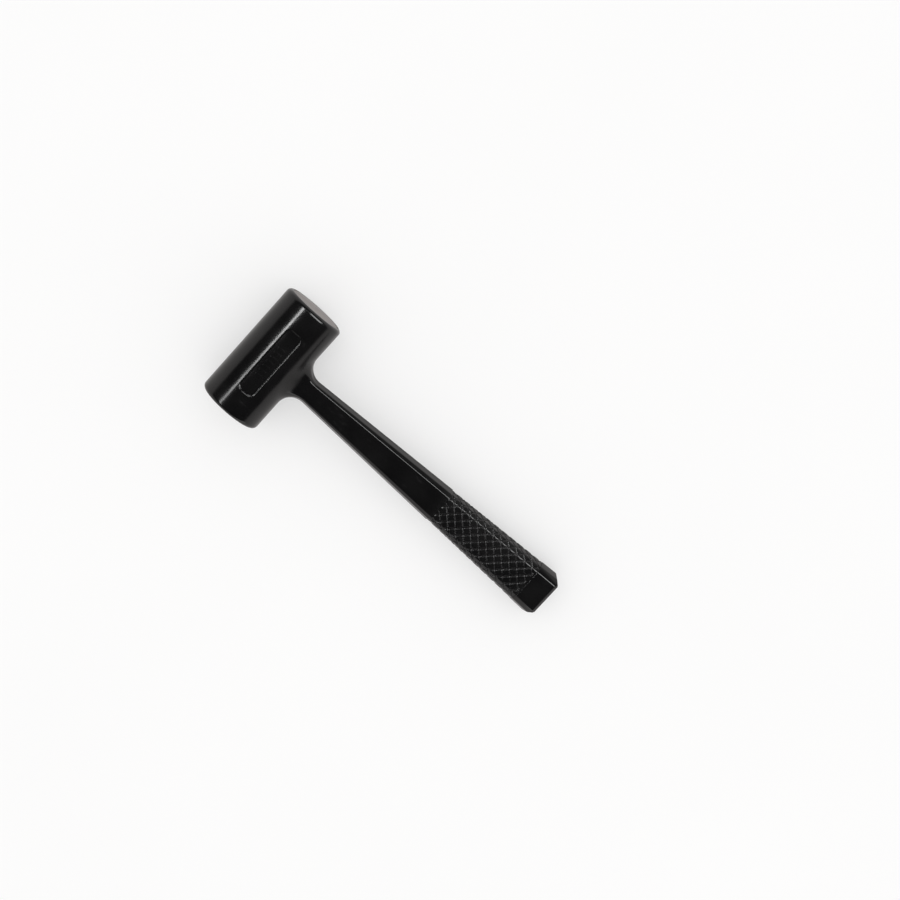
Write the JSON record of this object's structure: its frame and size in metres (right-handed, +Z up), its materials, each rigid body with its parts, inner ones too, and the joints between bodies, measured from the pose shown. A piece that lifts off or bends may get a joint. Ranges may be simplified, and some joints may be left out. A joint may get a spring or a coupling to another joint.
{
  "type": "dead blow mallet",
  "caption": "Dead blow mallet: urethane-covered cylindrical head holding a canister of loose shot that slides and rolls, on a tapered octagonal handle with a diamond grip.",
  "frame": {"origin": "centre of the bounding box on the bench that the mallet lies on: the barrel's side and the butt's rim touch z = 0", "axes": "+Y along the head's axis out of the right strike face, +X from the head towards the butt, +Z up, across the handle's thickness; the handle slopes down 2.7 degrees from the head to the bench"},
  "size_m": [0.3066, 0.1002, 0.051],
  "materials": {
    "casing": "gloss",
    "strike_face": "matte",
    "grip": "satin",
    "butt": "satin",
    "canister_steel": "satin",
    "core_steel": "satin",
    "shot_steel": "satin"
  },
  "bodies": {
    "mallet": {"mallet_casing": "casing", "strike_face_right": "strike_face", "strike_face_left": "strike_face", "grip_sleeve": "grip", "butt_cap": "butt", "canister_tube": "canister_steel", "canister_cap_right": "canister_steel", "canister_cap_left": "canister_steel", "rod_saddle": "core_steel", "core_rod": "core_steel"},
    "rolling_shot": {"shot_bed": "shot_steel"},
    "sliding_shot": {"shot_charge": "shot_steel"}
  },
  "joints": [
    {"name": "shot_roll", "type": "hinge", "parent": "mallet", "child": "rolling_shot", "pos_m": [-0.12781, 0, 0.0255], "axis": [0, 1, 0], "continuous": true},
    {"name": "shot_slide", "type": "slide", "parent": "rolling_shot", "child": "sliding_shot", "axis": [0, 1, 0], "range_m": [-0.012, 0.012]}
  ]
}
